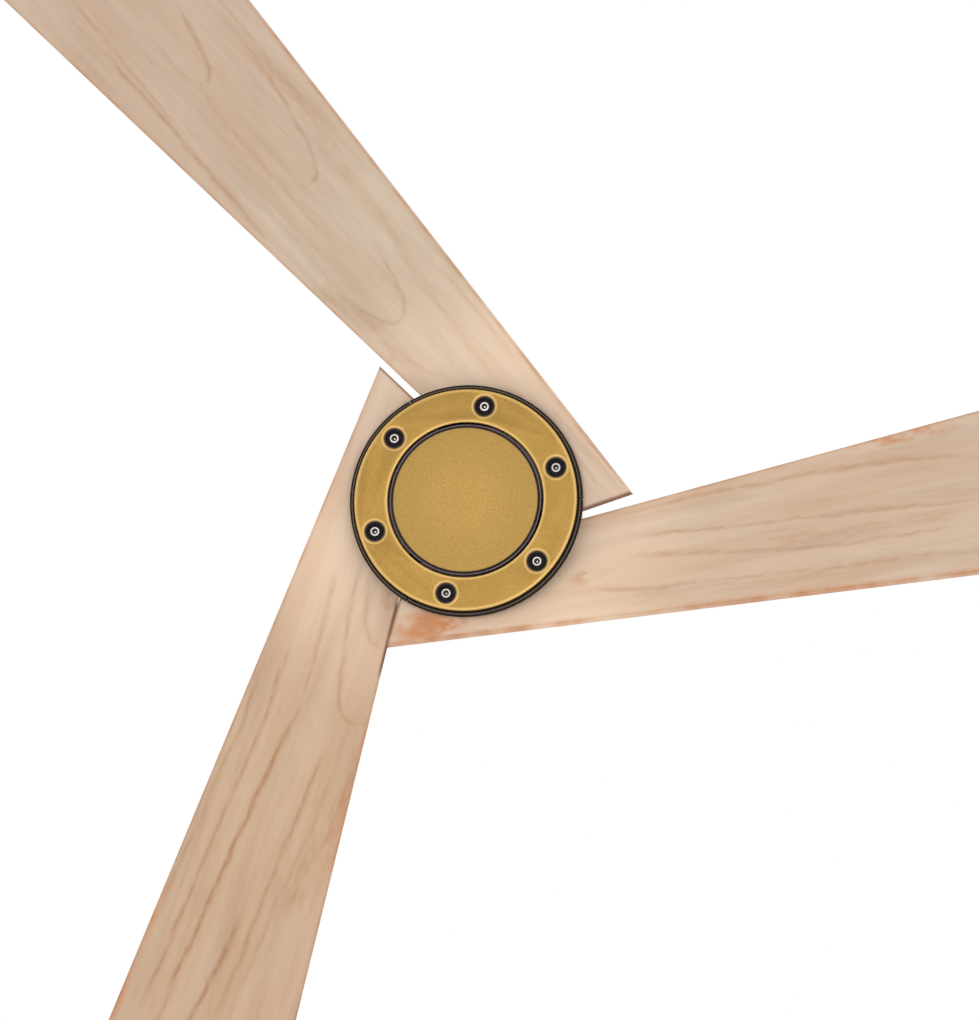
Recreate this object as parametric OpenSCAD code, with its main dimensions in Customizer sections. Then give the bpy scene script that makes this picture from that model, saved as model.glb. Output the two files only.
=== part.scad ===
// Three-blade ceiling fan with wooden blades, a ball hanger, a short downrod and
// a direct-drive outer-rotor motor. Millimetres, +Z up.
// The origin is the centre of the hanger bracket's top face, which lies against the
// ceiling. Everything hangs below it, and the blades turn about Z.

/* [Overall] */
// Height from the ceiling down to the face of the clamp plate
fan_h = 232; // [226:1:260]

/* [Blades] */
// Distance from the fan's axis to the square end of a blade, along the blade
blade_reach = 696; // [500:1:720]
// Thickness of the wood
blade_t = 9; // [7:0.5:10]
// Slope of a blade's face across its width; the leading edge is higher
blade_pitch = 10; // [8:0.5:11]
// Slope of a blade along its length; the tip is higher than the root
blade_rise = 5; // [4:0.25:5.5]
// Width of a blade in plan, level with the fan's axis
blade_root_w = 77.5; // [74:0.5:80]
// How much each edge spreads, per millimetre along the blade
blade_spread = 0.075; // [0.06:0.005:0.09]
// Distance in plan from the fan's axis to a blade's centre line
blade_offset = 79.2; // [77:0.1:80]
// Gap between a blade's inner end and the next blade's edge
blade_gap = 7.5; // [5:0.1:9]
// How much closer to the next blade each blade's inner end comes
end_extra = [2.6, 0, 3.6]; // [0:0.1:5]
// Radius of the two corners at a blade's tip
tip_corner_r = 20; // [5:1:40]
// Direction of the first blade, seen from above
blade_angle = -11.6; // [-12:0.1:-11]

/* [Hub face] */
// Outer radius of the brass clamp plate
plate_r = 97.5; // [95:0.5:100]
// Inner radius of the clamp plate
plate_hole_r = 68; // [66:0.5:70]
// Thickness of the clamp plate
plate_t = 5; // [4:0.5:6]
// Radius of the centre cap
cap_r = 63.5; // [60:0.5:64]
// Outer radius of the dark lip round the clamp plate
lip_r = 102; // [100:0.5:104]
// Thickness of that lip
lip_t = 2.5; // [2:0.5:3]
// Radius of the circle that the clamp screws sit on
screw_circle_r = 83.5; // [82:0.5:85]
// Direction of the first clamp screw, seen from above
screw_angle = 40.95; // [35:0.05:45]
// Radius of the well that each clamp screw's head sits in
well_r = 8.6; // [8:0.1:9]

/* [Motor] */
// Outer radius of the fixed motor housing
housing_r = 94; // [92:0.5:95]
// Height of the rotor's two shells together
rotor_h = 54; // [50:1:56]
// Number of stator teeth and coils
teeth = 12; // [9:3:12]
// Number of magnets in the rotor
magnets = 14; // [8:2:16]

/* [Hanger] */
// Radius of the hanger ball
ball_r = 20; // [19:0.5:21]
// Depth of the ball's centre below the ceiling
ball_depth = 35; // [35:0.5:38]
// Outer radius of the downrod
rod_r = 9.5; // [9:0.5:10]
// Outer radius of the canopy at the ceiling
canopy_r = 62; // [61:0.5:66]
// Distance between the bracket's two slots for the outlet box screws
slot_spacing = 88.9; // [88:0.1:90]
// Width of each slot
slot_w = 5.2; // [4.6:0.1:6]
// Length of each slot, end to end
slot_l = 12; // [8:0.5:12]

/* [Hidden] */
$fn = 96;
eps = 1;

// Blade plan, worked out from the edges and the gap
spread_angle = atan(blade_spread);
edge_in = blade_offset - blade_root_w / 2;
end_angle = 30 - spread_angle;
end_plan = blade_gap / cos(end_angle) - edge_in / (cos(30) + blade_spread * sin(30));
half_w = blade_root_w / 2 / cos(blade_pitch);
edge_slope = blade_spread / cos(blade_pitch);
end_x = end_plan - tan(end_angle) * blade_offset;
end_slope = tan(end_angle) * cos(blade_pitch);
inner_x = (end_x + end_slope * half_w) / (1 - end_slope * edge_slope);
outer_x = (end_x - end_slope * half_w) / (1 + end_slope * edge_slope);
tip_angle = atan(edge_slope);
tip_x = blade_reach - tip_corner_r;
tip_y = half_w + edge_slope * tip_x - tip_corner_r / cos(tip_angle);

// Heights of the hub, from its lowest face up
z_face = -fan_h;
z_plate = z_face + plate_t;
z_lip = z_plate + lip_t;
z_blade = z_face + 19;
z_well = z_plate + 2;
z_carrier = z_blade + 24;
carrier_t = 3;
pad_r = 98;
boss_r = 90;
cup_floor = 1.5;
seat_gap = 0.02;
head_h = 5;

// Heights of the motor
shell_t = 4;
rotor_r = 80;
wall_r = 77;
flange_r = 86;
flange_t = 3;
z_rotor = z_carrier;
z_rotor_top = z_rotor + rotor_h;
z_mid = z_rotor + rotor_h / 2;
stack_h = 20;
z_core = z_mid - stack_h / 2;
core_r = 68.5;
magnet_in_r = 69.5;
magnet_out_r = 72.5;
magnet_h = 32;
z_housing = z_rotor_top + 15;
housing_t = 2.5;
shoulder_r = 32;
z_rim = z_rotor + 2;
z_board = z_housing - 8;
board_t = 1.6;

// Bearings: bore 15, outside diameter 35, width 11
shaft_r = 7.5;
shaft_bore_r = 4.2;
race_r = 17.5;
bearing_w = 11;
pitch_r = 12.5;
bead_r = 2.98;
groove_r = 3.02;
beads = 8;
z_lower = z_rotor + 2;
z_upper = z_rotor_top - 2 - bearing_w;

// Hanger and coupling
z_ball = -ball_depth;
rod_bore_r = 7.5;
cross_pin_r = 3;
pin_fit = 0.05;
z_coupling = z_housing + 28;
z_flange = z_housing + 4;
z_rod = z_housing + 10.5;
z_pin = z_housing + 20;
coupling_r = 15;
coupling_flange_r = 34;
sheet = 2.5;
half_slot = slot_spacing / 2;
leg_x = 30;
tab_x = 57;
z_tab = -10;
seat_r = 15.5;
z_seat = z_ball - 13.5;
seat_fit = 0.06;
canopy_bend = 40;
canopy_t = 2;
z_bend = -18;
third = 120;

// ---- shared shapes ----

function arc(cx, cy, r, from, to, steps = 12) = [
    for (i = [0:steps]) let (a = from + (to - from) * i / steps) [cx + r * cos(a), cy + r * sin(a)]
];

module disc(r, low, high) {
    translate([0, 0, low])
        cylinder(r = r, h = high - low);
}

module tube(r_out, r_in, low, high) {
    difference() {
        disc(r_out, low, high);
        disc(r_in, low - eps, high + eps);
    }
}

module sector(from, to, r_in, r_out, low, high) {
    rotate([0, 0, from])
        translate([0, 0, low])
            rotate_extrude(angle = to - from)
                translate([r_in, 0])
                    square([r_out - r_in, high - low]);
}

module around(count, radius, first = 0) {
    for (i = [0:count - 1])
        rotate([0, 0, first + 360 * i / count])
            translate([radius, 0, 0])
                children();
}

// A socket-head screw: the head's seat is at z = 0, the head below it, the shank above
module cap_screw(head, head_h, shank, length, key) {
    difference() {
        union() {
            disc(head, -head_h, 0);
            disc(shank, -eps, length);
        }
        translate([0, 0, -head_h - eps])
            cylinder(r = key, h = head_h * 0.55 + eps, $fn = 6);
    }
}

// ---- blades and the hub that clamps them ----

module in_blade(i) {
    rotate([0, 0, blade_angle + third * i])
        translate([0, blade_offset, z_blade])
            rotate([0, -blade_rise, 0])
                rotate([-blade_pitch, 0, 0])
                    children();
}

module blade_outline(extra) {
    inner = inner_x - extra;
    outer = outer_x - extra;
    polygon(concat(
        [[inner, -half_w - edge_slope * inner]],
        arc(tip_x, -tip_y, tip_corner_r, -90 - tip_angle, 0),
        arc(tip_x, tip_y, tip_corner_r, 0, 90 + tip_angle),
        [[outer, half_w + edge_slope * outer]]
    ));
}

// Everything inside a blade's outline, from one height to another across its thickness
module blade_slab(i, low, high, extra = 0) {
    in_blade(i)
        translate([0, 0, low])
            linear_extrude(high - low)
                blade_outline(extra);
}

module at_clamp_screws() {
    around(6, screw_circle_r, screw_angle)
        children();
}

module blade(i) {
    color([0.84, 0.72, 0.62])
        difference() {
            blade_slab(i, -blade_t / 2, blade_t / 2, end_extra[i]);
            at_clamp_screws() disc(5.5, z_lip, z_carrier);
        }
}

module blade_1() { blade(0); }
module blade_2() { blade(1); }
module blade_3() { blade(2); }

// Rubber bushes that fill the blades' holes round the clamp screws
module blade_grommets() {
    color([0.12, 0.12, 0.12])
        for (i = [0:2])
            intersection() {
                at_clamp_screws() tube(5.45, 2.7, z_lip, z_carrier);
                blade_slab(i, -blade_t / 2, blade_t / 2, end_extra[i]);
            }
}

// A wedge that makes up the height between the flat plate and the pitched blade.
// Its lip is one third of a flat ring, and it stands over the start of the next lip.
module wedge_pad(i) {
    seam = 0.3;
    inside = plate_hole_r + 1;
    start = third * i;
    color([0.10, 0.09, 0.08])
        difference() {
            union() {
                intersection() {
                    tube(pad_r, inside + 1, z_plate + 1, z_blade + 20);
                    blade_slab(i, -30, -blade_t / 2 - seat_gap);
                }
                sector(start + seam, start + third - seam, inside, lip_r, z_plate, z_lip);
            }
            sector(start + third - seam, start + third + 30, inside - 5, lip_r + 5, z_plate - eps, z_lip);
            at_clamp_screws() disc(well_r + 0.1, z_plate - eps, z_well);
            at_clamp_screws() disc(2.9, z_plate, z_carrier);
        }
}

module wedge_pad_1() { wedge_pad(0); }
module wedge_pad_2() { wedge_pad(1); }
module wedge_pad_3() { wedge_pad(2); }

module clamp_plate() {
    chamfer = 0.8;
    color([0.72, 0.58, 0.29])
        difference() {
            rotate_extrude()
                polygon([
                    [plate_hole_r, z_plate],
                    [plate_hole_r, z_face + chamfer],
                    [plate_hole_r + chamfer, z_face],
                    [plate_r - chamfer, z_face],
                    [plate_r, z_face + chamfer],
                    [plate_r, z_plate]
                ]);
            at_clamp_screws() disc(well_r, z_face - eps, z_plate + eps);
        }
}

module well_cups() {
    color([0.05, 0.05, 0.05])
        at_clamp_screws()
            difference() {
                disc(well_r - 0.05, z_face + 0.4, z_well);
                disc(well_r - 1, z_face, z_well - cup_floor);
                disc(2.9, z_face, z_well + eps);
            }
}

module clamp_screws() {
    color([0.75, 0.75, 0.75])
        at_clamp_screws()
            translate([0, 0, z_well - cup_floor])
                cap_screw(4.15, head_h, 2.5, z_carrier - z_well - 1, 2.3);
}

module blade_carrier() {
    color([0.35, 0.35, 0.36])
        difference() {
            union() {
                tube(boss_r, 24, z_carrier - carrier_t, z_carrier);
                for (i = [0:2])
                    intersection() {
                        tube(boss_r, 46, z_blade - 10, z_carrier - 1);
                        blade_slab(i, blade_t / 2 + seat_gap, 40);
                    }
            }
            at_clamp_screws() disc(4.25, z_blade - 10, z_carrier - 1);
            around(6, 31) disc(2.1, z_carrier - carrier_t - eps, z_carrier + eps);
        }
}

// Threaded inserts moulded into the carrier for the clamp screws
module carrier_inserts() {
    color([0.70, 0.56, 0.28])
        at_clamp_screws() tube(4.2, 2.55, z_carrier - 9.5, z_carrier - 1.5);
}

module carrier_screws() {
    color([0.6, 0.6, 0.6])
        around(6, 31)
            translate([0, 0, z_carrier - carrier_t])
                cap_screw(3.4, 3, 2, 6, 1.6);
}

// ---- centre cap, which stays still while the clamp plate turns round it ----

module centre_cap() {
    edge = 0.6;
    color([0.74, 0.60, 0.32])
        rotate_extrude()
            polygon([
                [0, z_face],
                [cap_r - edge, z_face],
                [cap_r, z_face + edge],
                [cap_r, z_face + 8],
                [cap_r - 2, z_face + 8],
                [cap_r - 2, z_face + 2.5],
                [0, z_face + 2.5]
            ]);
}

module cap_edge_ring() {
    color([0.06, 0.06, 0.06])
        tube(cap_r + 2.8, cap_r + 0.05, z_face + 0.9, z_face + 6);
}

module cap_studs() {
    color([0.6, 0.6, 0.6])
        around(3, 26)
            union() {
                disc(2.5, z_face + 2.5, z_face + 16);
                disc(4.5, z_face + 15.2, z_face + 17.2);
            }
}

module cap_adapter() {
    color([0.55, 0.55, 0.56])
        difference() {
            union() {
                disc(34, z_face + 12, z_face + 15);
                disc(13, z_face + 12, z_face + 21);
            }
            disc(shaft_r + 0.05, z_face + 11, z_face + 22);
            around(3, 26) disc(2.6, z_face + 11, z_face + 16);
        }
}

module adapter_nut() {
    color([0.6, 0.6, 0.6])
        difference() {
            translate([0, 0, z_face + 7])
                cylinder(r = 13, h = 5, $fn = 6);
            disc(shaft_r + 0.05, z_face + 6, z_face + 13);
        }
}

// ---- bearings ----

module inner_race(low) {
    color([0.75, 0.75, 0.76])
        translate([0, 0, low])
            rotate_extrude()
                difference() {
                    translate([shaft_r + 0.02, 0])
                        square([2.88, bearing_w]);
                    translate([pitch_r, bearing_w / 2])
                        circle(r = groove_r);
                }
}

module outer_race(low) {
    color([0.75, 0.75, 0.76])
        translate([0, 0, low])
            rotate_extrude()
                difference() {
                    translate([14.6, 0])
                        square([race_r - 14.6, bearing_w]);
                    translate([pitch_r, bearing_w / 2])
                        circle(r = groove_r);
                }
}

module bearing_balls(low) {
    color([0.85, 0.85, 0.86])
        translate([0, 0, low + bearing_w / 2])
            around(beads, pitch_r)
                sphere(r = bead_r);
}

module bearing_cage(low) {
    color([0.70, 0.55, 0.28])
        difference() {
            tube(13.6, 11.4, low + bearing_w / 2 - 3.8, low + bearing_w / 2 + 3.8);
            translate([0, 0, low + bearing_w / 2])
                around(beads, 0)
                    rotate([0, 90, 0])
                        disc(groove_r, 11, 14);
        }
}

module upper_inner_race() { inner_race(z_upper); }
module lower_inner_race() { inner_race(z_lower); }
module upper_outer_race() { outer_race(z_upper); }
module lower_outer_race() { outer_race(z_lower); }
module upper_bearing_balls() { bearing_balls(z_upper); }
module lower_bearing_balls() { bearing_balls(z_lower); }
module upper_bearing_cage() { bearing_cage(z_upper); }
module lower_bearing_cage() { bearing_cage(z_lower); }

// ---- rotor ----

module at_shell_screws() {
    around(6, 82.9, 30)
        children();
}

module rotor_top_shell() {
    color([0.62, 0.62, 0.64])
        difference() {
            union() {
                disc(rotor_r, z_rotor_top - shell_t, z_rotor_top);
                disc(22, z_upper - 1, z_rotor_top);
                tube(rotor_r, wall_r, z_mid, z_rotor_top);
                tube(flange_r, wall_r, z_mid, z_mid + flange_t);
            }
            disc(race_r + 0.02, z_upper - 2, z_upper + bearing_w);
            disc(12, z_upper, z_rotor_top + eps);
            around(6, 46, 30) disc(9, z_rotor_top - shell_t - eps, z_rotor_top + eps);
            at_shell_screws() disc(1.7, z_mid - eps, z_mid + flange_t + eps);
        }
}

module rotor_bottom_shell() {
    color([0.62, 0.62, 0.64])
        difference() {
            union() {
                disc(rotor_r, z_rotor, z_rotor + shell_t);
                disc(22, z_rotor, z_lower + bearing_w + 1);
                tube(rotor_r, wall_r, z_rotor, z_mid);
                tube(flange_r, wall_r, z_mid - flange_t, z_mid);
            }
            disc(race_r + 0.02, z_lower, z_lower + bearing_w + 2);
            disc(12, z_rotor - eps, z_lower + eps);
            around(6, 31) disc(2.1, z_rotor - eps, z_rotor + shell_t + eps);
            at_shell_screws() disc(1.7, z_mid - flange_t - eps, z_mid + eps);
        }
}

module shell_screws() {
    color([0.6, 0.6, 0.6])
        at_shell_screws()
            translate([0, 0, z_mid - flange_t])
                cap_screw(2.6, 2.5, 1.6, 5.8, 1.3);
}

module back_iron_ring() {
    color([0.40, 0.41, 0.43])
        tube(wall_r - 0.02, magnet_out_r, z_mid - magnet_h / 2, z_mid + magnet_h / 2);
}

module rotor_magnets() {
    color([0.30, 0.30, 0.32])
        for (i = [0:magnets - 1])
            rotate([0, 0, 360 / magnets * i])
                translate([0, 0, z_mid - magnet_h / 2])
                    rotate_extrude(angle = 360 / magnets - 3)
                        translate([magnet_in_r, 0])
                            square([magnet_out_r - magnet_in_r - 0.02, magnet_h]);
}

// ---- stator and shaft ----

module stator_core() {
    shoe = 360 / teeth - 4;
    color([0.42, 0.43, 0.45])
        difference() {
            union() {
                disc(36, z_core, z_core + stack_h);
                for (i = [0:teeth - 1])
                    rotate([0, 0, 360 / teeth * i]) {
                        translate([30, -4, z_core])
                            cube([34, 8, stack_h]);
                        rotate([0, 0, -shoe / 2])
                            translate([0, 0, z_core])
                                rotate_extrude(angle = shoe)
                                    translate([62, 0])
                                        square([core_r - 62, stack_h]);
                    }
            }
            disc(shaft_r + 0.02, z_core - eps, z_core + stack_h + eps);
            around(6, 23) disc(5, z_core - eps, z_core + stack_h + eps);
        }
}

module stator_coils() {
    over = 5.5;
    color([0.72, 0.38, 0.18])
        for (i = [0:teeth - 1])
            rotate([0, 0, 360 / teeth * i])
                difference() {
                    translate([38, -8, z_core - over])
                        cube([22, 16, stack_h + 2 * over]);
                    translate([37, -4.1, z_core - 0.1])
                        cube([24, 8.2, stack_h + 0.2]);
                }
}

module shaft_spacers() {
    color([0.6, 0.6, 0.6]) {
        tube(10.2, shaft_r + 0.02, z_lower + bearing_w, z_core);
        tube(10.2, shaft_r + 0.02, z_core + stack_h, z_upper);
    }
}

module motor_shaft() {
    color([0.68, 0.68, 0.70])
        difference() {
            disc(shaft_r, z_face + 6, z_rod - 0.5);
            disc(shaft_bore_r, z_face + 5, z_rod + eps);
            tube(shaft_r + eps, shaft_r - 0.7, z_lower - 1.5, z_lower - 0.2);
        }
}

module shaft_circlip() {
    color([0.35, 0.35, 0.36])
        difference() {
            tube(10.3, shaft_r - 0.68, z_lower - 1.45, z_lower - 0.25);
            translate([0, -3, z_lower - 3])
                cube([20, 6, 4]);
        }
}

// ---- fixed motor housing ----

module motor_housing() {
    flat_r = housing_r - shoulder_r;
    z_turn = z_housing - shoulder_r;
    rim_in = 3;
    color([0.66, 0.52, 0.26])
        difference() {
            rotate_extrude()
                polygon(concat(
                    [[shaft_r + 1, z_housing], [flat_r, z_housing]],
                    arc(flat_r, z_turn, shoulder_r, 90, 0),
                    [[housing_r, z_rim + 6], [housing_r - rim_in, z_rim]],
                    [[housing_r - rim_in - housing_t, z_rim]],
                    [[housing_r - housing_t, z_rim + 6.6]],
                    arc(flat_r, z_turn, shoulder_r - housing_t, 0, 90),
                    [[shaft_r + 1, z_housing - housing_t]]
                ));
            around(4, 27, 45) disc(2.1, z_housing - 4, z_housing + eps);
            around(3, 50) disc(1.6, z_housing - 4, z_housing + eps);
        }
}

module housing_screws() {
    color([0.6, 0.6, 0.6])
        around(4, 27, 45)
            translate([0, 0, z_flange])
                rotate([180, 0, 0])
                    cap_screw(3.4, 3, 2, 7, 1.6);
}

module driver_board() {
    color([0.10, 0.34, 0.20])
        union() {
            difference() {
                disc(58, z_board, z_board + board_t);
                disc(22, z_board - eps, z_board + board_t + eps);
                around(3, 50) disc(1.6, z_board - eps, z_board + board_t + eps);
            }
            for (i = [0:5])
                rotate([0, 0, 60 * i + 30])
                    translate([34, -4, z_board - 2.5])
                        cube([12, 8, 3]);
        }
}

module board_spacers() {
    color([0.70, 0.56, 0.28])
        around(3, 50)
            union() {
                disc(3, z_board + board_t, z_housing - housing_t);
                disc(1.5, z_board - 1, z_housing - 0.5);
                disc(2.6, z_board - 2, z_board);
            }
}

// ---- coupling between the shaft and the downrod ----

module rod_coupling() {
    color([0.50, 0.50, 0.52])
        difference() {
            union() {
                disc(coupling_r, z_housing, z_coupling);
                disc(coupling_flange_r, z_housing, z_flange);
            }
            disc(rod_r + pin_fit, z_rod, z_coupling + eps);
            disc(shaft_r + 0.02, z_housing - eps, z_rod + eps);
            translate([0, 0, z_pin])
                rotate([0, 90, 0])
                    disc(cross_pin_r + pin_fit, -20, 20);
            translate([0, 0, z_pin - 4])
                rotate([90, 0, 0])
                    disc(2.55, -20, 20);
            around(4, 27, 45) disc(2.1, z_housing - eps, z_flange + eps);
        }
}

module coupling_pin() {
    color([0.65, 0.65, 0.66])
        translate([0, 0, z_pin])
            difference() {
                rotate([0, 90, 0])
                    union() {
                        disc(cross_pin_r, -16, 19);
                        disc(4.5, -17.2, -15.2);
                    }
                translate([17, 0, -0.5])
                    rotate([90, 0, 0])
                        disc(1.6, -5, 5);
            }
}

module coupling_split_ring() {
    color([0.6, 0.6, 0.6])
        translate([17, 0, z_pin - 5])
            rotate([0, 90, 0])
                rotate_extrude()
                    translate([5, 0])
                        circle(r = 0.8);
}

module coupling_set_screws() {
    color([0.35, 0.35, 0.36])
        for (side = [0, 180])
            rotate([0, 0, side])
                translate([0, 0, z_pin - 4])
                    rotate([90, 0, 0])
                        difference() {
                            disc(2.5, rod_r + 0.02, coupling_r + 1);
                            translate([0, 0, coupling_r - 1])
                                cylinder(r = 1.4, h = 4, $fn = 6);
                        }
}

module coupling_cover() {
    cup_r = 40;
    cup_h = 31;
    neck = rod_r + 1.5;
    wall = 2;
    low = z_housing + 0.3;
    rise = cup_h / (cup_r - neck);
    color([0.68, 0.54, 0.27])
        rotate_extrude()
            polygon(concat(
                [for (a = [0:7.5:90]) [neck + (cup_r - neck) * cos(a), low + (cup_r - neck) * rise * sin(a)]],
                [for (a = [90:-7.5:0])
                    [neck + (cup_r - neck - wall) * cos(a), low + (cup_h - wall) * sin(a)]]
            ));
}

// ---- downrod, ball and bracket ----

module downrod() {
    color([0.70, 0.56, 0.29])
        difference() {
            disc(rod_r, z_rod + 0.3, z_ball + 15.5);
            disc(rod_bore_r, z_rod - eps, z_ball + 20);
            for (z = [z_pin, z_ball])
                translate([0, 0, z])
                    rotate([0, 90, 0])
                        disc(cross_pin_r + pin_fit, -20, 20);
        }
}

module ball_cross_pin() {
    color([0.65, 0.65, 0.66])
        translate([0, 0, z_ball])
            rotate([0, 90, 0])
                disc(cross_pin_r, -17, 17);
}

// The ball has a flat-sided slot on its +Y side, which the bracket's key sits in
module hanger_ball() {
    slot = 9.5;
    color([0.16, 0.16, 0.17])
        translate([0, 0, z_ball])
            difference() {
                sphere(r = ball_r);
                disc(rod_r + pin_fit, -25, 25);
                rotate([0, 90, 0])
                    disc(cross_pin_r + pin_fit, -25, 25);
                difference() {
                    translate([-slot / 2, 8, -22])
                        cube([slot, 20, 30]);
                    rotate([0, 90, 0])
                        disc(16, -10, 10);
                }
            }
}

module slot_hole() {
    straight = slot_l / 2 - slot_w / 2;
    translate([-straight, -slot_w / 2, -sheet - eps])
        cube([2 * straight, slot_w, sheet + 2 * eps]);
    for (end = [-straight, straight])
        translate([end, 0, 0])
            disc(slot_w / 2, -sheet - eps, eps);
}

module hanger_bracket() {
    half_w = 17;
    collar_r = 24;
    mouth = 21;
    color([0.55, 0.56, 0.58])
        difference() {
            union() {
                translate([-tab_x, -half_w, -sheet])
                    cube([2 * tab_x, 2 * half_w, sheet]);
                for (side = [-1, 1]) {
                    translate([side * (leg_x + 1) - 1.5, -half_w, z_seat])
                        cube([3, 2 * half_w, -z_seat - 1]);
                    translate([side * (tab_x - 1.5) - 1.5, -8, -16])
                        cube([3, 16, 15]);
                }
                translate([-leg_x, -half_w, z_seat])
                    cube([2 * leg_x, 2 * half_w, 3]);
                disc(collar_r, z_seat, z_ball - 5);
                translate([-1.6, 17.5, z_seat])
                    cube([3.2, collar_r - 18, ball_r - 6]);
            }
            difference() {
                union() {
                    translate([0, 0, z_ball])
                        sphere(r = ball_r + seat_fit);
                    disc(seat_r, z_seat - eps, z_ball);
                }
                translate([-1.6, 17.5, z_seat - eps])
                    cube([3.2, 10, ball_r]);
            }
            translate([-mouth / 2, -30, z_seat - eps])
                cube([mouth, 30, 20]);
            for (side = [-1, 1])
                translate([side * half_slot, 0, 0])
                    slot_hole();
            disc(11, -sheet - eps, eps);
            translate([0, 0, z_tab])
                rotate([0, 90, 0])
                    difference() {
                        disc(1.7, -tab_x - eps, tab_x + eps);
                        disc(3, -tab_x + 5, tab_x - 5);
                    }
        }
}

module remote_receiver() {
    color([0.92, 0.92, 0.90])
        translate([-27, -23, -13.4])
            cube([54, 46, 10.4]);
}

module canopy() {
    bend_r = canopy_r - canopy_bend;
    inner_bend = canopy_bend - canopy_t;
    color([0.68, 0.54, 0.27])
        difference() {
            rotate_extrude()
                polygon(concat(
                    [[canopy_r, -1]],
                    arc(bend_r, z_bend, canopy_bend, 0, -90),
                    arc(bend_r, z_bend, inner_bend, -90, 0),
                    [[canopy_r - canopy_t, -1]]
                ));
            translate([0, 0, z_tab])
                rotate([0, 90, 0])
                    disc(2.2, -canopy_r - eps, canopy_r + eps);
        }
}

module canopy_screws() {
    color([0.68, 0.54, 0.27])
        for (side = [0, 180])
            rotate([0, 0, side])
                translate([canopy_r + 0.1, 0, z_tab])
                    rotate([0, -90, 0])
                        cap_screw(4.2, 2.4, 1.6, 9, 1.6);
}

hanger_bracket();
canopy();
canopy_screws();
remote_receiver();
ball_cross_pin();
hanger_ball();
downrod();
rod_coupling();
coupling_pin();
coupling_split_ring();
coupling_set_screws();
coupling_cover();
motor_shaft();
motor_housing();
housing_screws();
driver_board();
board_spacers();
stator_core();
stator_coils();
shaft_spacers();
upper_inner_race();
lower_inner_race();
shaft_circlip();
cap_adapter();
adapter_nut();
cap_studs();
centre_cap();
cap_edge_ring();
upper_bearing_balls();
upper_bearing_cage();
lower_bearing_balls();
lower_bearing_cage();
rotor_top_shell();
rotor_bottom_shell();
shell_screws();
back_iron_ring();
rotor_magnets();
upper_outer_race();
lower_outer_race();
blade_carrier();
carrier_inserts();
carrier_screws();
blade_1();
blade_2();
blade_3();
blade_grommets();
wedge_pad_1();
wedge_pad_2();
wedge_pad_3();
clamp_plate();
well_cups();
clamp_screws();
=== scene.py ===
"""A three-blade wooden ceiling fan, seen from below. Metres, +Z up, ceiling at z = 0."""

import math

import bmesh
import bpy
from mathutils import Matrix, Vector


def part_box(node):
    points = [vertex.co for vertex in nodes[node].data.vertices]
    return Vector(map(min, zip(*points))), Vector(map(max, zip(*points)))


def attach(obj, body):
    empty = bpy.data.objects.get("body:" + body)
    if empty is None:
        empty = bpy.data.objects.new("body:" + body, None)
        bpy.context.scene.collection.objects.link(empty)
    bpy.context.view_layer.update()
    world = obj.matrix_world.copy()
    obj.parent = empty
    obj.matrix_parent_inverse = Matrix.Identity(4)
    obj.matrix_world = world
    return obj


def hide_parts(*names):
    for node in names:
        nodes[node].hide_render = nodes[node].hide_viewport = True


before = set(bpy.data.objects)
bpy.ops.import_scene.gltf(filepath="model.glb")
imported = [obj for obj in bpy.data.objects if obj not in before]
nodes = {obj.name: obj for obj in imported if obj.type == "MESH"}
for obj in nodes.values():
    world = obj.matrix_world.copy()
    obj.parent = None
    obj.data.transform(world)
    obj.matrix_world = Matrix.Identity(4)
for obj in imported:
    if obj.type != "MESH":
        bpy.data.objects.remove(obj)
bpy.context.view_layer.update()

MM = 0.001
plate_low, plate_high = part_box("clamp_plate")
_, cap_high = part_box("centre_cap")
_, cup_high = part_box("well_cups")
_, screw_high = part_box("clamp_screws")

# The hub, in metres. FACE_Z is the plate's lower face, which the camera sees
FACE_Z = plate_low.z
PLATE_R = plate_high.x
CAP_R = cap_high.x
LIP_Z = plate_high.z
LIP_R = 0.102
GROOVE_R = 0.068
WELL_R = 0.0086
SCREW_CIRCLE = 0.0835
SCREW_ANGLE = math.radians(40.95)
SCREW_SEAT_Z = -226.5 * MM

# A blade's own frame: x along it from the fan's axis, y across it, z through it.
# Turn, pitch and rise are degrees, offset and height are metres
BLADE_TURN = -11.6
BLADE_PITCH = 10
BLADE_RISE = 5
BLADE_OFFSET = 0.0792
BLADE_Z = FACE_Z + 0.019

# Half a blade's width at x = 0, how much that grows per millimetre along it, and the places
# along it, in millimetres, that lie before its inner end and beyond its tip
HALF_WIDTH_MM = 39.35
EDGE_SPREAD = 0.0762
BEFORE_BLADE, BEYOND_BLADE = -170, 770
EDGE_FADE = 70

# The camera, from the middle of the plate's face: which way and how far it is, where it looks
CAMERA_AWAY = Vector((0.136, 0.1742, -1))
CAMERA_DISTANCE = 3.5
CAMERA_TARGET = Vector((0.0214, 0.0096, 0))
CAMERA_ROLL = 0.01065
CAMERA_LENS = 142.45
CLIP_END = 60

KEY_PLACE, KEY_WATTS = (-0.25, -0.15, -3.3), 14
FILL_PLACE, FILL_WATTS = (1.2, 1.0, -2.8), 8
LIGHT_SIZE = 2.2
FLOOR_Z = -4.2
FLOOR_R = 40

# Metres within which points are one, and the angles that decide what is flat, sharp or smooth
WELD, CAD_WELD = 1e-7, 2e-6
FLAT_ANGLE, SHARP_ANGLE = math.radians(0.5), math.radians(35)
SMOOTH_ANGLE, BEVEL_SMOOTH_ANGLE = 40, 30


# ---- camera, light and floor ----

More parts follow.
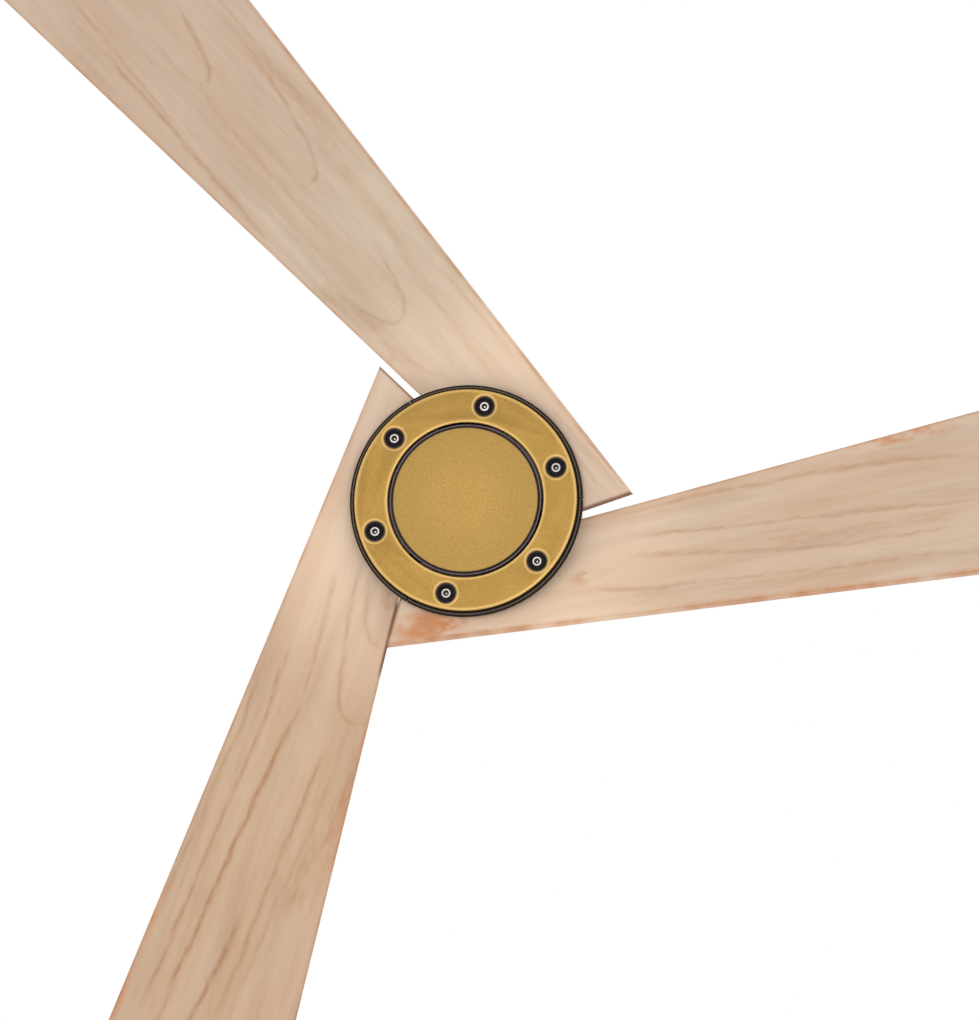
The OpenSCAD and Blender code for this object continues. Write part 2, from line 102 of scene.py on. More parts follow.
def aim(camera, place, target, roll):
    """Points the camera at target with -Y up the picture, then rolls it by radians."""
    forward = (target - place).normalized()
    right = forward.cross(Vector((0, -1, 0))).normalized()
    up = right.cross(forward)
    turned = right * math.cos(roll) + up * math.sin(roll)
    up = turned.cross(forward)
    axes = Matrix((turned, up, -forward)).transposed().to_4x4()
    camera.matrix_world = Matrix.Translation(place) @ axes


def make_camera():
    data = bpy.data.cameras.new("camera")
    data.lens = CAMERA_LENS
    data.clip_end = CLIP_END
    camera = bpy.data.objects.new("camera", data)
    bpy.context.scene.collection.objects.link(camera)
    hub = Vector((0, 0, FACE_Z))
    place = hub + CAMERA_AWAY.normalized() * CAMERA_DISTANCE
    aim(camera, place, hub + CAMERA_TARGET, CAMERA_ROLL)
    bpy.context.scene.camera = camera


def area_light(name, place, watts):
    """A round soft light, aimed at the middle of the plate's face."""
    data = bpy.data.lights.new(name, "AREA")
    data.shape, data.size, data.energy = "DISK", LIGHT_SIZE, watts
    light = bpy.data.objects.new(name, data)
    bpy.context.scene.collection.objects.link(light)
    place = Vector(place)
    turn = (Vector((0, 0, FACE_Z)) - place).to_track_quat("-Z", "Y")
    light.matrix_world = Matrix.Translation(place) @ turn.to_matrix().to_4x4()


def make_sky():
    """White overhead and below, and brighter toward the horizon, so rounded edges catch it."""
    world = bpy.data.worlds.new("white_studio")
    world.use_nodes = True
    tree = world.node_tree
    background = tree.nodes["Background"]
    background.inputs["Color"].default_value = (1, 1, 1, 1)
    direction = tree.nodes.new("ShaderNodeTexCoord").outputs["Generated"]
    split = tree.nodes.new("ShaderNodeSeparateXYZ")
    tree.links.new(direction, split.inputs[0])
    value = split.outputs[2]
    # Strength 1 + 0.8 (1 - |z|) ^ 2, where the third input only counts in MULTIPLY_ADD
    for operation, amount in (("ABSOLUTE", 0), ("MULTIPLY_ADD", -1), ("POWER", 2),
                              ("MULTIPLY_ADD", 0.8)):
        step = tree.nodes.new("ShaderNodeMath")
        step.operation = operation
        step.inputs[1].default_value = amount
        step.inputs[2].default_value = 1
        tree.links.new(value, step.inputs[0])
        value = step.outputs[0]
    tree.links.new(value, background.inputs["Strength"])
    bpy.context.scene.world = world


def make_studio():
    make_sky()
    bpy.context.scene.view_settings.view_transform = "Standard"
    area_light("key", KEY_PLACE, KEY_WATTS)
    area_light("fill", FILL_PLACE, FILL_WATTS)

    grid = bmesh.new()
    bmesh.ops.create_circle(grid, cap_ends=True, segments=96, radius=FLOOR_R)
    floor = object_from(grid, "floor")
    floor.location.z = FLOOR_Z
    shader = Shader("pale_floor", roughness=0.7)
    tone = shader.noise(shader.place, 0.6, detail=3)
    shader.colour(shader.mix(tone, srgb(229, 228, 226), srgb(235, 234, 232)))
    floor.data.materials.append(shader.material)


# ---- shader helpers ----

def srgb(*levels):
    """A linear colour from 0-255 display levels."""
    linear = []
    for level in levels:
        value = level / 255
        linear.append(value / 12.92 if value <= 0.04045 else ((value + 0.055) / 1.055) ** 2.4)
    return (*linear, 1.0)


class Shader:
    """A material whose node tree is built one step at a time. Lengths are in metres."""

    def __init__(self, name, **settings):
        self.material = bpy.data.materials.new(name)
        self.material.use_nodes = True
        self.tree = self.material.node_tree
        self.surface = self.tree.nodes["Principled BSDF"]
        names = {
            "metallic": "Metallic", "roughness": "Roughness", "specular": "Specular IOR Level",
            "coat": "Coat Weight", "coat_roughness": "Coat Roughness",
        }
        for key, value in settings.items():
            self.surface.inputs[names[key]].default_value = value
        self.place = self.add("ShaderNodeTexCoord").outputs["Object"]

    def add(self, kind, **settings):
        node = self.tree.nodes.new(kind)
        for key, value in settings.items():
            setattr(node, key, value)
        return node

    def put(self, value, socket):
        """Links a socket's value, or sets a constant on the socket itself."""
        if isinstance(value, bpy.types.NodeSocket):
            self.tree.links.new(value, socket)
        else:
            socket.default_value = value

    def math(self, operation, *values):
        node = self.add("ShaderNodeMath", operation=operation)
        for value, socket in zip(values, node.inputs):
            self.put(value, socket)
        return node.outputs[0]

    def split(self, vector):
        node = self.add("ShaderNodeSeparateXYZ")
        self.put(vector, node.inputs[0])
        return node.outputs[0], node.outputs[1], node.outputs[2]

    def join(self, x=0.0, y=0.0, z=0.0):
        node = self.add("ShaderNodeCombineXYZ")
        for value, socket in zip((x, y, z), node.inputs):
            self.put(value, socket)
        return node.outputs[0]

    def noise(self, vector, scale=1.0, detail=2.0, rough=0.5):
        node = self.add("ShaderNodeTexNoise")
        self.put(vector, node.inputs["Vector"])
        node.inputs["Scale"].default_value = scale
        node.inputs["Detail"].default_value = detail
        node.inputs["Roughness"].default_value = rough
        return node.outputs["Fac"]

    def ease(self, value, start, end, low=0.0, high=1.0):
        """low up to start, high from end on, and a smooth change between them."""
        node = self.add("ShaderNodeMapRange", interpolation_type="SMOOTHSTEP")
        for item, key in zip((value, start, end, low, high),
                             ("Value", "From Min", "From Max", "To Min", "To Max")):
            self.put(item, node.inputs[key])
        return node.outputs[0]

    def times(self, *values):
        result = values[0]
        for value in values[1:]:
            result = self.math("MULTIPLY", result, value)
        return result

    def mix(self, factor, first, second, blend="MIX"):
        """A mix of two colours. The node's colour sockets are inputs 6 and 7 and output 2."""
        node = self.add("ShaderNodeMix", data_type="RGBA", blend_type=blend)
        self.put(factor, node.inputs[0])
        self.put(first, node.inputs[6])
        self.put(second, node.inputs[7])
        return node.outputs[2]

    def darken(self, factor, colour, by):
        return self.mix(factor, colour, self.mix(1.0, colour, by, "MULTIPLY"))

    def length(self, first, second):
        return self.math("SQRT", self.math("ADD", self.times(first, first),
                                           self.times(second, second)))

    def colour(self, value):
        self.put(value, self.surface.inputs["Base Color"])

    def rough(self, value, low, high):
        """Roughness from low to high as a noise value rises."""
        self.put(self.ease(value, 0.25, 0.75, low, high), self.surface.inputs["Roughness"])

    def bump(self, height, distance, strength=1.0):
        node = self.add("ShaderNodeBump")
        node.inputs["Strength"].default_value = strength
        node.inputs["Distance"].default_value = distance
        self.put(height, node.inputs["Height"])
        self.put(node.outputs[0], self.surface.inputs["Normal"])


# ---- wood ----

LINE = srgb(224, 199, 176)
# Painted shadow: the brown-grey laid on each blade's inner end and along the seam where the next
# blade's end meets its edge
PAINTED_SHADOW_TONE = srgb(158, 134, 116)
INNER_TONE = srgb(213, 190, 169)
# Painted light: a pale tone laid on the wood near the hub
PAINTED_LIGHT_TONE = srgb(250, 226, 201)


class Wood(Shader):
    """Pale wood in a blade's own frame. Grain places are millimetres in that frame.

    end is the two corners of the blade's inner end, and seed sets its noise apart.
    """

    def __init__(self, name, seed, end):
        super().__init__(name, roughness=0.5, specular=0.3)
        self.seed = seed
        self.end = end
        x, y, z = self.split(self.place)
        self.x, self.flat_y, self.z = [self.times(value, 1 / MM) for value in (x, y, z)]
        wide = self.field(70, 45, detail=2)
        fine = self.field(14, 10, detail=2, shift=3)
        drift = self.times(self.math("SUBTRACT", wide, 0.5), 11.0)
        shake = self.times(self.math("SUBTRACT", fine, 0.5), 2.6)
        # Across the blade, shaken a little so that grain lines waver
        self.y = self.math("ADD", self.flat_y, self.math("ADD", drift, shake))
        # Breaks lines into stretches of more and less strength
        self.dash = self.ease(self.field(13, 3.5, detail=3, shift=5), 0.32, 0.62, 0.42, 1.0)
        self.marks = 0.0
        # Painted shadow along a seam, zero until one is set
        self.painted_shadow = 0.0

    def field(self, along, across, detail=2.0, shift=0.0, rough=0.5):
        """Noise whose features are about that many millimetres long and wide."""
        vector = self.join(
            self.math("ADD", self.times(self.x, 1 / along), self.seed + shift),
            self.times(self.flat_y, 1 / across),
            self.times(self.z, 1 / across),
        )
        return self.noise(vector, 1.0, detail, rough)

    def line(self, distance, width, halo=7.0):
        """Dark on the line, quickly gone beyond it, and fading slowly on the near side."""
        size = self.math("ABSOLUTE", distance)
        core = self.ease(size, 0.0, width * 1.5, 1.0, 0.0)
        near = self.ease(distance, 0.0, width * 1.8, 1.0, 0.0)
        shade = self.times(self.ease(distance, -halo, 0.0), near)
        return self.math("ADD", self.times(core, 0.68), self.times(shade, 0.32))

    def mark(self, amount):
        self.marks = self.math("MAXIMUM", amount, self.marks)

    def streak(self, start, end, sag=0.0, width=2.0, strength=0.6, halo=7.0):
        """A grain line from start to end, bowed by sag at its middle."""
        (x0, y0), (x1, y1) = start, end
        along = self.times(self.math("SUBTRACT", self.x, x0), 1 / (x1 - x0))
        bow = self.times(along, self.math("SUBTRACT", 1.0, along), 4 * sag)
        path = self.math("ADD", self.times(along, y1 - y0), bow)
        distance = self.math("SUBTRACT", self.math("SUBTRACT", self.y, y0), path)
        fade = self.times(self.ease(along, 0.0, 0.16), self.ease(along, 0.84, 1.0, 1.0, 0.0))
        self.mark(self.times(self.line(distance, width, halo), fade, self.dash, strength))

    def arch(self, tip, reach, half, opens=1, power=2.6, upper=1.0, lower=1.0, arms=90,
             width=2.2, strength=0.5):
        """A cathedral arch: arms half a width apart at that reach behind its tip."""
        across = self.times(self.math("SUBTRACT", self.y, tip[1]), 1 / half)
        size = self.math("ABSOLUTE", across)
        back = self.times(self.math("POWER", size, power), reach)
        along = self.times(self.math("SUBTRACT", self.x, tip[0]), opens)
        slope = self.times(self.math("POWER", self.math("MAXIMUM", size, 0.01), power - 1),
                           power * reach / half)
        steep = self.math("SQRT", self.math("ADD", self.times(slope, slope), 1.0))
        distance = self.math("DIVIDE", self.math("SUBTRACT", back, along), steep)
        side = self.ease(across, -0.1, 0.1, upper, lower)
        fade = self.ease(along, arms * 0.55, arms, 1.0, 0.0)
        self.mark(self.times(self.line(distance, width), fade, side, self.dash, strength))

    def band(self, start, end, sag=0.0, width=9.0, strength=0.3):
        """A broad soft stripe of darker wood."""
        self.streak(start, end, sag, width, strength, halo=width * 2)

    def patch(self, centre, size, ragged=0.5, bare=0.5):
        """A soft blotch round a place, broken up by noise.

        bare is the noise value below which no blotch shows, and ragged softens that limit.
        """
        across = self.times(self.math("SUBTRACT", self.x, centre[0]), 1 / size[0])
        over = self.times(self.math("SUBTRACT", self.flat_y, centre[1]), 1 / size[1])
        far = self.length(across, over)
        speckle = self.field(16, 9, detail=3, shift=9)
        broken = self.ease(speckle, bare - ragged / 5, bare + ragged / 5)
        return self.times(self.ease(far, 0.3, 1.0, 1.0, 0.0), broken)

    def inward(self, side):
        """How far in from the blade's long edge on that side."""
        half = self.math("ADD", self.times(self.x, EDGE_SPREAD), HALF_WIDTH_MM)
        return self.math("SUBTRACT", half, self.times(self.flat_y, side))

    def edge(self, side, start, end, depth):
        """How near the blade's long edge on that side, between two places along it."""
        along = self.times(self.ease(self.x, start, start + EDGE_FADE),
                           self.ease(self.x, end - EDGE_FADE, end, 1.0, 0.0))
        ragged = self.ease(self.field(26, 60, detail=3, shift=7), 0.3, 0.7, 0.25, 1.0)
        return self.times(self.ease(self.inward(side), 0.0, depth, 1.0, 0.0), along, ragged)

    def seam(self, side, start, end, depth):
        """A painted shadow line on part of a long edge, where the next blade's inner end meets it.
        """
        along = self.times(self.ease(self.x, start - 6, start),
                           self.ease(self.x, end, end + 12, 1.0, 0.0))
        self.painted_shadow = self.times(self.ease(self.inward(side), 0.6, depth, 1.0, 0.0), along)

    def inner_end(self, depth):
        """How near the blade's square-cut inner end."""
        (x0, y0), (x1, y1) = self.end
        lean = (x1 - x0) / (y1 - y0)
        start = self.math("MULTIPLY_ADD", self.flat_y, lean, x0 - lean * y0)
        inward = self.times(self.math("SUBTRACT", self.x, start), 1 / math.hypot(1, lean))
        return self.ease(inward, 0.0, depth, 1.0, 0.0)

    def ground(self, root, middle, tip):
        """The wood between its marks: three tones along the blade, with soft streaks."""
        tone = self.mix(self.ease(self.x, -50, 60), INNER_TONE, root)
        tone = self.mix(self.ease(self.x, 40, 210), tone, middle)
        tone = self.mix(self.ease(self.x, 230, 480), tone, tip)
        soft = self.field(170, 17, detail=3, shift=13)
        tone = self.darken(self.ease(soft, 0.3, 0.75, 0.0, 0.6), tone, srgb(238, 222, 208))
        grey = self.field(130, 12, detail=2, shift=17)
        tone = self.darken(self.ease(grey, 0.45, 0.75, 0.0, 0.6), tone, srgb(238, 237, 238))
        fibre = self.field(24, 0.9, detail=3, shift=19, rough=0.6)
        tone = self.darken(self.ease(fibre, 0.35, 0.8, 0.0, 0.45), tone, srgb(236, 224, 213))
        return tone, fibre

    def painted_hub_light(self):
        """How near the hub, outward of the plate's rim: where painted light lifts the wood against
        the plate's shade.
        """
        from_axis = self.length(self.x, self.math("ADD", self.flat_y, BLADE_OFFSET / MM))
        return self.times(self.ease(from_axis, 110, 230, 0.32, 0.0), self.ease(self.x, 0, 80))

    def finish(self, root, middle, tip, stain, stains, edges):
        tone, fibre = self.ground(root, middle, tip)
        # Painted light near the hub, outward of the plate
        tone = self.mix(self.painted_hub_light(), tone, PAINTED_LIGHT_TONE)
        for amounts, strength in ((stains, 0.9), (edges, 0.75)):
            for amount in amounts:
                tone = self.mix(self.times(amount, strength), tone, stain)
        for side in (-1, 1):
            self.mark(self.times(self.edge(side, BEFORE_BLADE, BEYOND_BLADE, 2.6), 0.75))
        dark = self.mix(1.0, tone, LINE, "MULTIPLY")
        tone = self.mix(self.marks, tone, dark)
        # Painted shadow on the inner end face and along the seam
        painted_shadow = self.math("MAXIMUM", self.inner_end(3.2), self.painted_shadow)
        self.colour(self.darken(painted_shadow, tone, PAINTED_SHADOW_TONE))
        self.rough(fibre, 0.44, 0.58)
        self.bump(self.math("SUBTRACT", fibre, self.times(self.marks, 0.6)), 0.00012, 0.5)
        return self.material


def right_blade_wood(end):
    w = Wood("wood_blade_1", 11.0, end)
    w.streak((100, -41), (450, -35), sag=-9, width=2.4, strength=0.55)
    w.streak((120, -22), (450, 8), width=2.0, strength=0.6)
    w.streak((104, -10), (430, 28), sag=8, width=2.2, strength=0.5)
    w.streak((55, 18), (430, 51), sag=2, width=2.4, strength=0.55)
    w.streak((200, 33), (500, 60), width=1.8, strength=0.3)
    w.streak((430, -20), (640, -8), width=2.2, strength=0.5)
    w.streak((450, 26), (640, 40), width=2.2, strength=0.5)
    w.band((240, 6), (430, 16), strength=0.35)
    w.band((110, 30), (330, 38), sag=4, strength=0.25)
    w.streak((440, 4), (700, 12), width=2.4, strength=0.45)
    w.streak((560, -52), (700, -46), width=2.2, strength=0.4)
    w.streak((520, 62), (700, 70), width=2.4, strength=0.35)
    stains = [w.patch((-54, 23), (42, 21), 0.9, 0.38), w.patch((-33, 28), (16, 12), 0.3),
              w.times(w.patch((90, 8), (22, 10)), 0.5), w.times(w.patch((385, -64), (60, 8)), 0.8)]
    edges = [w.edge(1, 130, 700, 6.5), w.times(w.edge(1, BEFORE_BLADE, 110, 5), 0.9),
             w.times(w.edge(-1, 40, 700, 4.5), 0.5)]
    return w.finish(srgb(221, 193, 166), srgb(206, 182, 160), srgb(203, 181, 160),
                    srgb(192, 126, 76), stains, edges)


def left_blade_wood(end):
    w = Wood("wood_blade_2", 37.0, end)
    w.streak((86, 14), (222, 6), sag=-2, width=2.2, strength=0.45)
    w.streak((192, 5), (505, 40), width=2.6, strength=1.0)
    w.streak((145, 29), (520, 60), sag=-4, width=2.3, strength=0.75)
    w.streak((175, 46), (430, 67), width=2.0, strength=0.5)
    w.streak((230, -26), (495, -7), width=2.2, strength=0.7)
    w.streak((255, -40), (470, -19), width=2.4, strength=0.4)
    w.streak((395, -3), (540, 17), width=2.4, strength=0.95)
    w.streak((500, 34), (650, 48), width=2.4, strength=0.6)
    w.arch((214, -42), 33, 22, opens=-1, power=3.0, upper=0.3, arms=160, strength=0.55)
    w.arch((143, -42), 35, 21, opens=-1, power=3.0, upper=0.2, arms=70, strength=0.4)
    w.band((215, -60), (400, -38), strength=0.5)
    w.band((250, 30), (430, 44), strength=0.2)
    w.streak((430, 32), (600, 42), width=2.4, strength=0.5)
    w.streak((540, -40), (700, -28), width=2.4, strength=0.5)
    w.streak((600, 20), (700, 24), width=2.4, strength=0.6)
    # Painted shadow where the right blade's inner end meets this edge
    w.seam(-1, 105, 160, 3.6)
    stains = [w.times(w.patch((312, -57), (70, 13), 0.9), 0.55),
              w.times(w.patch((100, -38), (14, 10)), 0.6)]
    edges = [w.edge(1, 360, 700, 8.0), w.times(w.edge(1, -90, 360, 5), 0.5),
             w.times(w.edge(-1, 60, 700, 5), 0.55)]
    return w.finish(srgb(220, 192, 167), srgb(200, 173, 147), srgb(198, 171, 145),
                    srgb(190, 126, 84), stains, edges)


def upper_blade_wood(end):
    w = Wood("wood_blade_3", 71.0, end)
    w.arch((168, -15), 30, 20, power=2.5, lower=0.9, arms=80, strength=0.5)
    w.arch((320, 8), 8, 14, power=2.8, upper=0.25, arms=150, strength=0.55)
    w.arch((462, -2), 12, 12, power=2.3, upper=0.3, arms=90, strength=0.6)
    w.arch((104, -16), 14, 14, power=2.6, lower=0.2, arms=90, strength=0.25)
    w.streak((240, -14), (560, -9), sag=-3, width=3.0, strength=0.35)
    w.streak((300, -56), (570, -52), width=2.6, strength=0.6)
    w.streak((130, 16), (400, 57), width=3.4, strength=0.3, halo=10)
    w.streak((60, 12), (200, 20), width=2.4, strength=0.25)
    w.streak((380, 52), (640, 66), width=2.2, strength=0.35)
    w.band((168, -36), (250, -54), strength=0.4)
    w.band((270, 38), (470, 56), strength=0.35)
    w.streak((440, -50), (650, -40), width=2.6, strength=0.4)
    w.streak((560, 12), (700, 20), width=2.4, strength=0.4)
    w.streak((60, 38), (180, 42), width=2.0, strength=0.3)
    w.streak((-110, 14), (10, 22), width=2.6, strength=0.4)
    w.streak((-105, 28), (20, 33), width=2.0, strength=0.3)
    stains = [w.times(w.patch((150, -47), (50, 12), 0.8), 0.35),
              w.times(w.patch((440, 46), (50, 5)), 0.4)]
    edges = [w.times(w.edge(1, -90, 700, 5), 0.5), w.times(w.edge(-1, 40, 700, 5), 0.5)]
    return w.finish(srgb(219, 194, 169), srgb(202, 183, 163), srgb(199, 177, 158),
                    srgb(197, 143, 104), stains, edges)


# ---- metal, rubber and the rest ----

def polar(shader):
    """Distance from the fan's axis, and the angle round it."""
    x, y, _ = shader.split(shader.place)
    return shader.length(x, y), shader.math("ARCTAN2", y, x)


def plate_brass():
    """Brushed in short slanting arcs and polished along its rims, with pale gold on the rims and
    round its wells that is partly wear and partly painted highlight, and a painted shade ring
    beside each well.
    """
    s = Shader("plate_brass", metallic=1.0)
    radius, angle = polar(s)
    turn = s.math("ABSOLUTE", angle)
    slant = s.math("ADD", s.times(radius, 2300.0), s.times(turn, 36.0))
    brushed = s.noise(s.join(slant, s.times(turn, 19.0)), 1.0, 3, 0.6)
    grit = s.noise(s.place, 900.0, 3, 0.6)
    cloud = s.noise(s.place, 38.0, 2)
    tone = s.mix(s.ease(cloud, 0.3, 0.7), srgb(164, 130, 69), srgb(170, 136, 74))
    tone = s.mix(s.ease(brushed, 0.3, 0.75, 0.0, 0.5), tone, srgb(146, 113, 53))
    tone = s.mix(s.ease(grit, 0.4, 0.75, 0.0, 0.35), tone, srgb(142, 109, 55))
    # Pale gold on the rims and round each well: partly real wear, partly painted highlight
    rims = s.math("MAXIMUM", s.ease(radius, PLATE_R - 4 * MM, PLATE_R - 0.6 * MM),
                  s.ease(radius, GROOVE_R + 0.5 * MM, GROOVE_R + 4 * MM, 1.0, 0.0))
    near = well_distance(s, radius, angle)
    wells = s.ease(near, WELL_R + 1.2 * MM, WELL_R + 3.6 * MM, 1.0, 0.0)
    wear_and_highlight = s.math("MAXIMUM", s.times(rims, 0.55), s.times(wells, 0.85))
    tone = s.mix(wear_and_highlight, tone, srgb(218, 182, 116))
    # Painted shade: a dark brown ring just outside each well
    painted_well_shade = s.ease(near, WELL_R + 0.6 * MM, WELL_R + 1.9 * MM, 0.8, 0.0)
    s.colour(s.mix(painted_well_shade, tone, srgb(92, 72, 54)))
    shiny = s.ease(rims, 0.5, 1.0, 1.0, 0.5)
    s.put(s.times(s.ease(brushed, 0.25, 0.75, 0.36, 0.5), shiny), s.surface.inputs["Roughness"])
    s.bump(s.math("ADD", brushed, grit), 0.00006, 0.35)
    return s.material


def well_distance(s, radius, angle):
    """Distance from the middle of the nearest screw well."""
    sixth = math.pi / 3
    # The angle folded into one sixth of a turn, with a well at its middle
    turned_on = s.math("ADD", angle, 2 * math.pi + sixth / 2 - SCREW_ANGLE)
    folded = s.math("SUBTRACT", s.math("MODULO", turned_on, sixth), sixth / 2)
    out = s.math("SUBTRACT", s.times(radius, s.math("COSINE", folded)), SCREW_CIRCLE)
    across = s.times(radius, s.math("SINE", folded))
    return s.length(out, across)


def cap_brass():
    """A pebbly satin face, with painted shade darkening it from the middle outward and a painted
    shadow at its rim.
    """
    s = Shader("cap_brass", metallic=1.0)
    radius, angle = polar(s)
    pebble = s.noise(s.place, 690.0, 3, 0.65)
    turn = s.math("ABSOLUTE", angle)
    sweep = s.noise(s.join(s.times(radius, 420.0), s.times(turn, 12.0)), 1.0, 3)
    cloud = s.noise(s.place, 44.0, 2)
    # Painted shade: lighter in the middle, darker toward the rim
    tone = s.mix(s.ease(radius, 15 * MM, 58 * MM), srgb(177, 144, 82), srgb(165, 134, 76))
    tone = s.mix(s.ease(cloud, 0.3, 0.7, 0.0, 0.4), tone, srgb(167, 134, 75))
    tone = s.mix(s.ease(pebble, 0.38, 0.7, 0.0, 0.5), tone, srgb(156, 123, 66))
    tone = s.mix(s.ease(sweep, 0.35, 0.8, 0.0, 0.35), tone, srgb(152, 120, 62))
    # Painted shadow: a dark band just inside the rim
    s.colour(s.mix(s.ease(radius, CAP_R - 1.4 * MM, CAP_R - 0.5 * MM, 0.0, 0.35), tone,
                   srgb(128, 101, 82)))
    s.rough(pebble, 0.38, 0.54)
    s.bump(pebble, 0.00008, 0.45)
    return s.material


def speckled(name, pale, dark, grain, metallic=0.0, rough=(0.4, 0.6), depth=0.00005, spread=0.6,
             **settings):
    """A finish with fine speckle and slow changes of tone."""
    s = Shader(name, metallic=metallic, **settings)
    speck = s.noise(s.place, grain, 4, 0.6)
    cloud = s.noise(s.place, grain / 14, 3)
    tone = s.mix(s.ease(cloud, 0.3, 0.7), pale, s.mix(0.4, pale, dark))
    s.colour(s.mix(s.ease(speck, 0.35, 0.75, 0.0, spread), tone, dark))
    s.rough(speck, *rough)
    s.bump(speck, depth, 0.5)
    return s.material


def ribbed_bead():
    """A moulding with fine slanting ribs, coloured brown as a painted highlight on the dark lip.
    """
    s = Shader("lip_bead", specular=0.4)
    radius, angle = polar(s)
    ribs = s.math("SINE", s.math("ADD", s.times(angle, 240.0), s.times(radius, 2600.0)))
    speck = s.noise(s.place, 600.0, 3, 0.6)
    # Painted highlight: the brown stands for light on the bead's rounded top
    tone = s.mix(s.ease(ribs, -0.6, 0.8, 0.0, 0.7), srgb(104, 86, 69), srgb(60, 48, 38))
    s.colour(s.mix(s.ease(speck, 0.4, 0.75, 0.0, 0.6), tone, srgb(46, 37, 29)))
    s.rough(speck, 0.42, 0.6)
    s.bump(ribs, 0.00015, 0.5)
    return s.material


def turned(name, pale, dark, rough=(0.22, 0.38)):
    """Metal with fine lathe marks round the fan's axis."""
    s = Shader(name, metallic=1.0)
    radius, angle = polar(s)
    _, _, height = s.split(s.place)
    marks = s.noise(s.join(s.times(radius, 1500.0), s.times(angle, 2.0), s.times(height, 1500.0)),
                    1.0, 3)
    cloud = s.noise(s.place, 30.0, 3)
    tone = s.mix(s.ease(cloud, 0.3, 0.7), pale, s.mix(0.5, pale, dark))
    s.colour(s.mix(s.ease(marks, 0.35, 0.75, 0.0, 0.5), tone, dark))
    s.rough(marks, *rough)
    s.bump(marks, 0.00004, 0.4)
    return s.material


def copper_winding():
    """Enamelled wire wound round each tooth."""
    s = Shader("copper_winding", metallic=0.85, coat=0.4, coat_roughness=0.2)
    _, _, height = s.split(s.place)
    radius, _ = polar(s)
    turns = s.math("SINE", s.times(s.math("ADD", radius, s.times(height, 0.08)), 7400.0))
    cloud = s.noise(s.place, 140.0, 2)
    tone = s.mix(s.ease(cloud, 0.3, 0.7), srgb(190, 104, 52), srgb(160, 78, 34))
    s.colour(s.mix(s.ease(turns, -1.0, 0.2, 0.7, 0.0), tone, srgb(70, 30, 14)))
    s.rough(cloud, 0.28, 0.4)
    s.bump(turns, 0.0001, 0.6)
    return s.material


def board_green():
    """Green lacquer over a fine weave, with paler tracks."""
    s = Shader("board_green", coat=0.3, coat_roughness=0.25)
    weave = s.noise(s.place, 900.0, 2)
    tracks = s.noise(s.join(*s.split(s.place)[:2]), 160.0, 0)
    near = s.math("ABSOLUTE", s.math("SUBTRACT", tracks, 0.5))
    tone = s.mix(s.ease(weave, 0.3, 0.7), srgb(22, 92, 54), srgb(16, 76, 46))
    s.colour(s.mix(s.ease(near, 0.012, 0.03, 0.7, 0.0), tone, srgb(60, 140, 84)))
    s.rough(weave, 0.3, 0.45)
    s.bump(near, 0.00005, 0.4)
    return s.material


def cast_metal(name, pale, dark):
    """A rough as-cast surface."""
    return speckled(name, pale, dark, 420.0, 1.0, (0.5, 0.7), 0.00025, 0.5)


# ---- mesh helpers ----

def object_from(mesh, name, smooth=None, place=None):
    """An object made of a bmesh. Edges sharper than smooth, in degrees, stay sharp."""
    data = bpy.data.meshes.new(name)
    bmesh.ops.recalc_face_normals(mesh, faces=mesh.faces)
    mesh.to_mesh(data)
    mesh.free()
    if smooth is not None:
        data.shade_smooth()
        data.set_sharp_from_angle(angle=math.radians(smooth))
    piece = bpy.data.objects.new(name, data)
    bpy.context.scene.collection.objects.link(piece)
    if place is not None:
        piece.matrix_world = place
    return piece


def arc_points(centre, radius, start, end, steps=6):
    """Profile points (r, z) round an arc, in degrees."""
    points = []
    for step in range(steps + 1):
        turn = math.radians(start + (end - start) * step / steps)
        points.append((centre[0] + radius * math.cos(turn), centre[1] + radius * math.sin(turn)))
    return points


def sweep(mesh, profile, centre=(0, 0), start=0.0, end=360.0, steps=192, six_sided=()):
    """Turns a profile of (r, z) points about Z. Points listed in six_sided follow a hexagon."""
    whole = end - start >= 360
    turns = [math.radians(start + (end - start) * k / steps) for k in range(steps + (not whole))]
    rings = []
    for number, (radius, z) in enumerate(profile):
        if radius < 1e-9:
            rings.append([mesh.verts.new((centre[0], centre[1], z))] * len(turns))
            continue
        ring = []
        for turn in turns:
            reach = radius
            if number in six_sided:
                reach = radius / math.cos((turn + math.pi / 6) % (math.pi / 3) - math.pi / 6)
            ring.append(mesh.verts.new((centre[0] + reach * math.cos(turn),
                                        centre[1] + reach * math.sin(turn), z)))
        rings.append(ring)
    count = len(turns)
    for inner, outer in zip(rings, rings[1:]):
        for k in range(count if whole else count - 1):
            n = (k + 1) % count
            corners = []
            for vert in (inner[k], inner[n], outer[n], outer[k]):
                if vert not in corners:
                    corners.append(vert)
            if len(corners) > 2:
                mesh.faces.new(corners)
    if not whole:
        for k in (0, -1):
            mesh.faces.new([ring[k] for ring in rings])


def closed(profile):
    """A profile that comes back to its first point."""
    return [*profile, profile[0]]


def swept_object(mesh, name):
    """The object of a swept mesh, with its seams closed."""
    bmesh.ops.remove_doubles(mesh, verts=mesh.verts, dist=WELD)
    return object_from(mesh, name, SMOOTH_ANGLE)


def lathe(name, profile, **options):
    """One object turned from a profile about the fan's axis."""
    mesh = bmesh.new()
    sweep(mesh, profile, **options)
    return swept_object(mesh, name)


def bead_profile(middle, half, foot, low):
    """Upright sides down from the foot, and a half round below them."""
    return closed([(middle - half, foot), *arc_points((middle, low), half, 180, 360, 10),
                   (middle + half, foot)])


